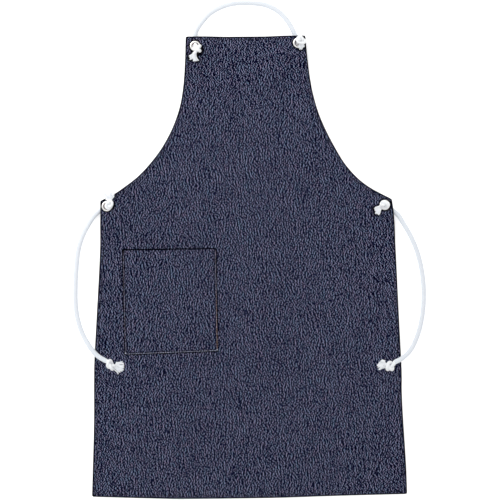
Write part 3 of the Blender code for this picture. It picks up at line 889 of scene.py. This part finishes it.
def seam_places(line, heights, above):
    """Middles and directions of the stitches along a line in plan, a little above given heights."""
    points = resample(line, STITCH_PITCH)
    middle = (points[1:] + points[:-1]) / 2
    z = heights(middle) + above
    return [
        (np.array((*m, h)), np.array((*d, 0.0)))
        for m, d, h in zip(middle, np.diff(points, axis=0), z)
    ]


def make_hem_stitching(mat):
    """The thread that holds the hem, all round the panel."""
    row = inward(PANEL_RING, HEM_SEAM)
    places = seam_places(np.concatenate([row, row[:1]]), panel_top, 0.3 * STITCH_R)
    places = [
        place for place in places
        if all((Vector(place[0][:2]) - centre).length > EYELET_CLEAR for centre in EYELETS.values())
    ]
    sew("hem_stitching", places, STITCH, STITCH_R, mat)


def pocket_top(points):
    """The height of the pocket's face at places in plan."""
    return pocket_heights(np.asarray(points, float))[1]


def make_pocket_stitching(left_mat, right_mat, foot_mat):
    """The thread that holds the pocket on: down one side, along the foot and up the other."""
    across, up = np.array((POCKET_STITCHES, 0.0)), np.array((0.0, POCKET_STITCHES))
    down = np.array((0.0, -0.003))
    for side, start, end, mat, nodes in (
        ("left", MOUTH_LEFT + down + across, FOOT_LEFT + up + across, left_mat, ()),
        ("right", FOOT_RIGHT + up - across, MOUTH_RIGHT + down - across, right_mat, ()),
        ("foot", FOOT_LEFT + across + up, FOOT_RIGHT - across + up, foot_mat, ("pocket_stitching",)),
    ):
        places = seam_places(np.array([start, end]), pocket_top, 0.35 * STITCH_R)
        sew(f"pocket_stitching_{side}", places, STITCH, STITCH_R * 1.15, mat, *nodes)
    tacks = []
    for corner in (FOOT_LEFT + across + up, FOOT_RIGHT - across + up):
        for k in range(TACK_COUNT):
            x, y = corner + ((k - (TACK_COUNT - 1) / 2) * TACK_SPACING, TACK / 2)
            z = pocket_top([(x, y)])[0] + 0.5 * STITCH_R
            tacks.append((np.array((x, y, z)), np.array((0.0, 1.0, 0.0))))
    sew("pocket_corner_tacks", tacks, TACK, STITCH_R * 1.1, foot_mat)


# ---- eyelets and washers ----


def turned(name, profile, centre, mat, steps=72):
    """A ring turned from a closed profile of (radius, height) points."""
    count = len(profile)
    verts = [
        (centre[0] + r * math.cos(angle), centre[1] + r * math.sin(angle), z)
        for angle in np.linspace(0.0, math.tau, steps, endpoint=False) for r, z in profile
    ]
    faces = []
    for i in range(steps):
        here, there = i * count, (i + 1) % steps * count
        for k in range(count):
            after = (k + 1) % count
            faces.append((here + k, there + k, there + after, here + after))
    return mesh_object(name, verts, faces, mat)


def arc(cx, cz, rx, rz, start, end, steps):
    """Points on an elliptical arc, in degrees."""
    return [
        (cx + rx * math.cos(math.radians(a)), cz + rz * math.sin(math.radians(a)))
        for a in np.linspace(start, end, steps)
    ]


def make_eyelet(corner, mat):
    """The eyelet: a domed flange that rolls over into its barrel."""
    low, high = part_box(f"{corner}_eyelet")
    outer = (high.x - low.x) / 2
    under = high.z - FLANGE
    centre = EYELETS[corner]
    middle = (outer + BORE) / 2
    profile = arc(middle, under, outer - middle, high.z - under, 0, 180, 15)
    profile += [(BORE - 0.0005, under - 0.0008), (BORE - 0.0010, low.z + 0.0004)]
    profile += [(BORE - 0.0002, low.z), (BORE + 0.0007, low.z + 0.0004)]
    profile += [(BORE + 0.0007, under), (outer - 0.0006, under - 0.0001)]
    eyelet = turned(f"{corner}_grommet", profile, centre, mat)
    place = np.array([tuple(v.co) for v in eyelet.data.vertices])
    radius = norm(place[:, :2] - np.array(centre), axis=1)
    # The bore is marked for the nickel's painted brown shade.
    painted_bore_shade = (radius < BORE + 0.0006) & (place[:, 2] < high.z - 0.0003)
    set_attribute(eyelet, "depth", painted_bore_shade.astype(float))
    attach(eyelet, "apron", "nickel", f"{corner}_eyelet")


def make_washer(corner, mat):
    """The washer at the back, slightly dished, with the barrel's edge rolled over it."""
    low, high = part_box(f"{corner}_washer")
    outer = (high.x - low.x) / 2
    middle = (low.z + high.z) / 2
    profile = [(WASHER_BORE, high.z), (outer - 0.0004, high.z)]
    profile += arc(outer - 0.0003, middle, 0.0003, 0.0003, 60, -60, 5)
    profile += [(outer - 0.0012, low.z - 0.0001), (WASHER_BORE + 0.0006, low.z)]
    profile += [(WASHER_BORE, low.z + 0.0002)]
    washer = turned(f"{corner}_back_washer", profile[::-1], EYELETS[corner], mat)
    attach(washer, "apron", "nickel", f"{corner}_washer")


# ---- braid ----


def frames_along(path):
    """Directions and two sideways axes along a path, carried without twist."""
    direction = np.gradient(path, axis=0)
    direction /= norm(direction, axis=1)[:, None]
    side = np.cross(direction[0], (0.0, 0.0, 1.0))
    if norm(side) < 0.1:
        side = np.cross(direction[0], (0.0, 1.0, 0.0))
    sides = []
    for d in direction:
        side = side - d * (side @ d)
        side = side / norm(side)
        sides.append(side)
    sides = np.array(sides)
    return direction, sides, np.cross(direction, sides)


STRANDS = 8
BRAID_PITCH = 0.0052  # length of one crossing along the cord
BRAID_RELIEF = 0.00055


def braided_tube(name, path, radii, mat, around=40, step=0.0007):
    """A braided cord along a path, with its strands as relief on the surface."""
    centre, s = spread_out(path, int(lengths_along(path)[-1] / step) + 1)
    radius = np.interp(s, lengths_along(path), radii)[:, None]
    _, side, up = frames_along(centre)
    turn = np.linspace(0.0, math.tau, around, endpoint=False)
    share = turn / math.tau * STRANDS
    lay = s[:, None] / BRAID_PITCH
    first, second = share + lay, share - lay
    x, y = 2 * (first % 1) - 1, 2 * (second % 1) - 1
    over = (np.floor(first) + np.floor(second)) % 2 == 0
    cross, run = np.where(over, x, y), np.where(over, y, x)
    relief = np.sqrt(1 - 0.92 * cross**2) * (0.62 + 0.38 * np.cos(run * math.pi / 2))
    body = radius + BRAID_RELIEF * (relief - 0.75) * np.minimum(radius / CORD_R, 1.0)
    out = side[:, None] * np.cos(turn)[None, :, None] + up[:, None] * np.sin(turn)[None, :, None]
    verts = (centre[:, None] + out * body[..., None]).reshape(-1, 3)
    obj = mesh_object(name, verts, tube_faces(len(s), around), mat)
    set_attribute(obj, "relief", np.clip(relief, 0.0, 1.0).ravel())
    braid_uv(obj, around, lay[:, 0])
    return obj


def braid_uv(obj, around, lay):
    """The place round and along the cord as a UV map, for the yarns in the material."""
    layer = obj.data.uv_layers.new(name="braid")
    loops = np.empty(len(obj.data.loops), np.int32)
    obj.data.loops.foreach_get("vertex_index", loops)
    ring, column = loops // around, loops % around
    rows = len(lay) - 1
    wrap = np.zeros(len(loops), bool)
    wrap[:rows * around * 4] = np.tile(np.arange(around).repeat(4) == around - 1, rows)
    u = np.where(wrap & (column == 0), 1.0, column / around) * STRANDS
    layer.data.foreach_set("uv", np.stack([u, lay[ring]], 1).astype(np.float32).ravel())


def tie_height(y):
    """Height of a tie's middle: on the table, then on the cloth where its end comes back."""
    low, high = TIE_CLIMB
    return CORD_Z + (ON_CLOTH_Z - CORD_Z) * float(smoothstep((y - low) / (high - low)))


def make_cord(name, points, mat, *nodes):
    """A cord through points in space, and its middle line."""
    path = smooth_curve(points)
    cord = braided_tube(name, path, np.full(len(path), CORD_R), mat)
    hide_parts(*nodes)
    return cord, path


def make_neck_cord(mat):
    """The neck cord, from the underside of one bib eyelet to the other's."""
    points = [(x, y, CORD_Z) for x, y in (EYELETS["bib_left"], *NECK_ROUTE, EYELETS["bib_right"])]
    nodes = ("neck_cord", "bib_left_cord_root", "bib_right_cord_root")
    cord, path = make_cord("neck_cord_braid", points, mat, *nodes)
    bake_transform(cord)
    return cord, path


def make_tie_cord(side, mat):
    """A waist tie, from the underside of its eyelet to its end knot."""
    name, corner, route = f"{side}_tie", f"waist_{side}", TIE_ROUTES[side]
    points = [(x, y, tie_height(y)) for x, y in (EYELETS[corner], *route)]
    cord, path = make_cord(f"{name}_braid", points, mat, f"{name}_cord", f"{corner}_cord_root")
    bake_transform(cord)
    return cord, path


def state_cord(path):
    """Measure a cord's length along its middle line, and keep nothing."""
    float(lengths_along(path)[-1])


# ---- knots ----


KNOT_ROUNDS = 700
KNOT_POINTS = 84
KNOT_TAUT = 0.35  # how far each round pulls the line straight
KNOT_NEAR = 1.45  # along the cord, the length within which its parts may touch


def tight_knot():
    """The middle line of an overhand knot in a cord of diameter 1, drawn tight along X.

    A loose knot is shortened a little at a time, and strands that come too close are pushed apart.
    """
    t = np.linspace(-2.1, 2.1, 200)
    loose = np.stack([t**3 - 3 * t, t**4 - 4 * t**2, (t**5 - 10 * t) / 10], 1) * 1.15
    reach = 5.0
    first = np.linspace((-reach, 0.0, 0.0), loose[0], 20, endpoint=False)
    last = np.linspace((reach, 0.0, 0.0), loose[-1], 20, endpoint=False)[::-1]
    line = np.concatenate([first, loose, last])

    line, at = spread_out(line, KNOT_POINTS)
    index = np.arange(KNOT_POINTS)
    apart = np.abs(index[:, None] - index[None])
    for turn in range(KNOT_ROUNDS):
        line[1:-1] += KNOT_TAUT * ((line[:-2] + line[2:]) / 2 - line[1:-1])
        if turn % 5 == 0:
            line, at = spread_out(line, KNOT_POINTS)
        others = apart >= max(3, math.ceil(KNOT_NEAR / at[1]))
        for _ in range(4):
            between = line[:, None] - line[None]
            distance = norm(between, axis=2) + 1e-9
            close = others & (distance < 1.0)
            push = np.where(close, (1.0 - distance) / 2, 0.0) / distance
            move = (between * push[..., None]).sum(1) / np.sqrt(np.maximum(close.sum(1), 1))[:, None]
            move[0] = move[-1] = 0.0
            line += move
    return line - line[KNOT_POINTS // 2] * (0.0, 1.0, 1.0)


KNOT = tight_knot()


def knot_core(strand, euler, scale):
    """The knotted part of the middle line, for a cord of a given diameter, turned in degrees and
    then squeezed. A negative number in the scale makes the mirrored knot."""
    inside = np.flatnonzero(np.abs(KNOT[:, 0]) > 1.75)
    half = len(KNOT) // 2
    core = KNOT[inside[inside < half].max() + 1:inside[inside > half].min()]
    core = (core - (core.max(0) + core.min(0)) / 2) * strand
    roll, pitch, heading = (math.radians(a) for a in euler)
    spin = Matrix.Rotation(heading, 3, "Z") @ Matrix.Rotation(pitch, 3, "Y")
    return core @ np.array(spin @ Matrix.Rotation(roll, 3, "X")).T * scale


def make_knot(name, fit, floor, lead, root, mat, ends):
    """A knot that lies on a floor: the cord comes in along the lead's points, and leaves to the
    root of its frayed end. The cord's radius there is given for both ends."""
    core = knot_core(fit["strand"], fit["euler"], fit["scale"])
    if fit.get("backwards"):
        core = core[::-1]
    low, high = core.min(0), core.max(0)
    core[:, :2] += np.array(fit["knot"]) - (low + high)[:2] / 2
    core[:, 2] += floor - low[2] + fit["strand"] / 2 * 0.9
    path = smooth_curve(resample(smooth_curve([*lead, *core, root], 4), fit["strand"] * 0.5), 6)
    full = fit["strand"] / 2
    t = np.linspace(0.0, 1.0, len(path))
    radii = np.interp(t, (0.0, 0.15, 0.93, 1.0), (ends[0], full, full, ends[1]))
    return braided_tube(name, path, radii, mat, around=28, step=0.0008)


CLUMPS, YARNS = 8, 15  # a frayed end's clumps, and the yarns in each
YARN_SIDES, YARN_STEPS = 6, 9
YARN_R = (0.00042, 0.00062)
YARN_WAVE = (0.0002, 0.0005)


def make_tail(name, fit, root, floor, mat, seed):
    """A cut end that has come apart: its yarns fan out from the root to a ragged line of ends."""
    random = np.random.default_rng(seed)
    root = np.array(root, float)
    ends = np.array(fit["ends"], float)
    reach = lengths_along(ends)
    forward = ends.mean(0) - root[:2]
    forward /= norm(forward)
    sideways = ends[-1] - ends[0]
    sideways /= norm(sideways)
    verts, faces = [], []
    for clump in range(CLUMPS):
        middle = (clump + random.uniform(0.25, 0.75)) / CLUMPS
        short = random.choice((0.0, 0.05, 0.12, 0.20))
        wave, phase = random.uniform(*YARN_WAVE), random.uniform(0.0, math.tau)
        layer = random.uniform(0.0, 1.0)
        for _ in range(YARNS):
            sway = np.clip(random.normal(0.0, 0.24), -0.5, 0.5)
            u = np.clip(middle + sway / CLUMPS, 0.0, 1.0)
            start = root[:2] + sideways * fit["spread"] * (u - 0.5)
            tip = np.array([np.interp(u * reach[-1], reach, column) for column in ends.T])
            tip = start + (tip - start) * (1.05 - short - random.uniform(0.0, 0.06))
            handle = start + forward * norm(tip - start) * 0.45
            thick = random.uniform(*YARN_R)
            rise = root[2] + (layer - 0.5) * 0.0040 + random.uniform(-0.0006, 0.0006)
            arch = math.sqrt(max(0.0, 0.25 - sway * sway)) * random.uniform(0.2, 1.0)
            rest = floor + thick + 0.0012 * layer + 0.0036 * arch
            line = []
            for k in range(YARN_STEPS):
                t = k / (YARN_STEPS - 1)
                place = start * (1 - t) ** 2 + handle * 2 * t * (1 - t) + tip * t * t
                place = place + sideways * wave * math.sin(phase + t * 8.0) * t
                line.append((*place, rise * (1 - t) ** 1.6 + rest * (1 - (1 - t) ** 1.6)))
            line = np.array(line)
            _, side, up = frames_along(line)
            faces += tube_faces(YARN_STEPS, YARN_SIDES, len(verts))
            wide = [thick] * (YARN_STEPS - 1) + [thick * 0.5]
            for ring in zip(line, side, up, wide):
                verts += ring_points(*ring, YARN_SIDES)
    return mesh_object(name, verts, faces, mat)


FLANGE_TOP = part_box("bib_left_eyelet")[1].z
FLANGE_R = 0.0101

# Each stopper knot's middle in plan, its turn, and its cord's diameter there; then the root of its
# frayed end, with how wide and how high that is, and the line that the ends of its yarns make.
STOPPERS = {
    "bib_left": dict(
        aside=(0.0006, -0.0017), knot=(-0.0941, 0.425), euler=(180, -45, 270),
        strand=0.0065, scale=(1.02, 1.05, 0.8),
        root=(-0.0982, 0.418), spread=0.007, height=0.018,
        ends=((-0.1122, 0.4111), (-0.1094, 0.4048), (-0.1051, 0.4044),
              (-0.1008, 0.4016), (-0.0946, 0.402), (-0.0895, 0.4023)),
    ),
    "bib_right": dict(
        aside=(0.0014, 0.0012), knot=(0.108, 0.44), euler=(150, 45, 330),
        strand=0.0055, scale=(1.0, 1.0, 0.8),
        root=(0.1095, 0.4345), spread=0.008, height=0.0175,
        ends=((0.1018, 0.4279), (0.1049, 0.4222), (0.108, 0.421),
              (0.1108, 0.4236), (0.1135, 0.425), (0.1153, 0.429)),
    ),
    "waist_left": dict(
        aside=(0.0018, 0.0002), knot=(-0.2665, 0.1241), euler=(0, -45, 60),
        strand=0.0053, scale=(1.0, 1.0, 0.8),
        root=(-0.2674, 0.1324), spread=0.011, height=0.0185,
        ends=((-0.2784, 0.1415), (-0.2772, 0.1469), (-0.2713, 0.1477),
              (-0.2645, 0.1476), (-0.2567, 0.1464), (-0.2564, 0.1397)),
    ),
    "waist_right": dict(
        knot=(0.268, 0.1194), euler=(240, 75, 330), backwards=True,
        strand=0.0062, scale=(1.0, 1.0, 0.75),
        root=(0.26, 0.1157), spread=0.008, height=0.0185,
        ends=((0.2473, 0.116), (0.2457, 0.1127), (0.2484, 0.1041),
              (0.2523, 0.1006), (0.2557, 0.0978), (0.2589, 0.1025)),
    ),
}
TIE_ENDS = {
    "left": dict(
        knot=(-0.2667, -0.1869), euler=(330, 15, 330),
        strand=0.006, scale=(0.78, 1.18, 0.8),
        root=(-0.2598, -0.1886), spread=0.0155, height=0.006,
        ends=((-0.242, -0.1794), (-0.2411, -0.1861), (-0.2412, -0.1929),
              (-0.2441, -0.1997), (-0.2485, -0.2032), (-0.2536, -0.2059)),
    ),
    "right": dict(
        knot=(0.2755, -0.1937), euler=(0, 15, 0), backwards=True,
        strand=0.0064, scale=(0.78, 1.18, 0.8),
        root=(0.267, -0.19), spread=0.015, height=0.006,
        ends=((0.2602, -0.1804), (0.2541, -0.185), (0.2512, -0.1943),
              (0.2508, -0.2025), (0.2549, -0.2027), (0.261, -0.1987)),
    ),
}


# How a cord comes up through its eyelet: its share of the knot's step aside, and its height
LEAD = ((0.0, 0.0052), (0.0, 0.0085), (0.6, 0.0115), (1.0, FLANGE_TOP - 0.0002))


def make_knots(cord_mat, yarn_mat):
    """The stopper knots on the eyelets, and the knots at the ties' ends, each with its frayed end."""
    for number, (corner, fit) in enumerate(STOPPERS.items()):
        hole, aside = np.array(EYELETS[corner]), np.array(fit.get("aside", (0.0, 0.0)))
        lead = [(*(hole + aside * out), z) for out, z in LEAD]
        root = (*fit["root"], fit["height"])
        floor = FLANGE_TOP + KNOT_REST
        knot = make_knot(f"{corner}_knot", fit, floor, lead, root, cord_mat, (0.0040, 0.0030))
        attach(knot, "apron", "white_cord", f"{corner}_stopper_knot")
        floor = float(panel_top(fit["ends"]).max())
        tail = make_tail(f"{corner}_frayed_end", fit, root, floor, yarn_mat, number + 1)
        attach(tail, "apron", "white_cord", f"{corner}_frayed_tail")
    for number, (side, fit) in enumerate(TIE_ENDS.items()):
        tie = f"{side}_tie"
        floor = float(panel_top([fit["knot"]])[0]) + KNOT_REST
        end, before = (np.array((*TIE_ROUTES[side][k], ON_CLOTH_Z)) for k in (-1, -2))
        lead = [end + (before - end) * 0.25, end]
        root = (*fit["root"], floor + fit["height"])
        knot = make_knot(f"{tie}_end_braid_knot", fit, floor, lead, root, cord_mat, (0.0044, 0.0030))
        attach(knot, tie, "white_cord", f"{tie}_end_knot")
        tail = make_tail(f"{tie}_frayed_end", fit, root, floor, yarn_mat, number + 11)
        attach(tail, tie, "white_cord", f"{tie}_end_tail")


# ---- the whole apron ----


def main():
    """Make the camera and the cords, then the cloth, the metal and the knots."""
    make_camera()
    make_stage()

    cord_mat = cord_material("braided_cotton")
    yarn_mat = yarn_material("cotton_yarn")
    neck, neck_path = make_neck_cord(cord_mat)
    ties = {side: make_tie_cord(side, cord_mat) for side in TIE_ROUTES}

    denim = denim_material("slub_denim", turn=-0.060)
    panel, area = make_panel(denim)
    pocket = make_pocket(denim_material("slub_denim_pocket", 0.137, 0.012))
    patch_denim = denim_material("slub_denim_patch", 0.071, -0.02)
    for corner in CORNER_NAMES:
        make_backing_patch(corner, patch_denim)
    make_hem_stitching(thread_material("hem_thread", ((0.004, 0.004, 0.008), (0.02, 0.02, 0.03))))
    brown = thread_material("brown_thread", ((0.10, 0.075, 0.085), (0.24, 0.18, 0.19)))
    orange = thread_material(
        "orange_thread", ((0.42, 0.24, 0.14), (0.66, 0.42, 0.28)),
        faded=((0.11, 0.08, 0.10), (0.26, 0.20, 0.22)),
    )
    pale = thread_material("pale_thread", ((0.13, 0.14, 0.21), (0.68, 0.71, 0.80)))
    make_pocket_stitching(brown, orange, pale)

    # The knots get a copy of the cord's material painted lighter, against the shade in their own
    # folds.
    make_knots(cord_material("knot_braid_painted_lighter", 0.32), yarn_mat)

    nickel = nickel_material("nickel", 0.22)
    for corner in CORNER_NAMES:
        make_eyelet(corner, nickel)
        make_washer(corner, nickel)

    state_cord(
        neck_path,
    )
    for side, (tie, path) in ties.items():
        pieces = [f"{side}_tie_end_braid_knot", f"{side}_tie_frayed_end"]
        pieces += [f"waist_{side}_knot", f"waist_{side}_frayed_end"]
        state_cord(path)


main()
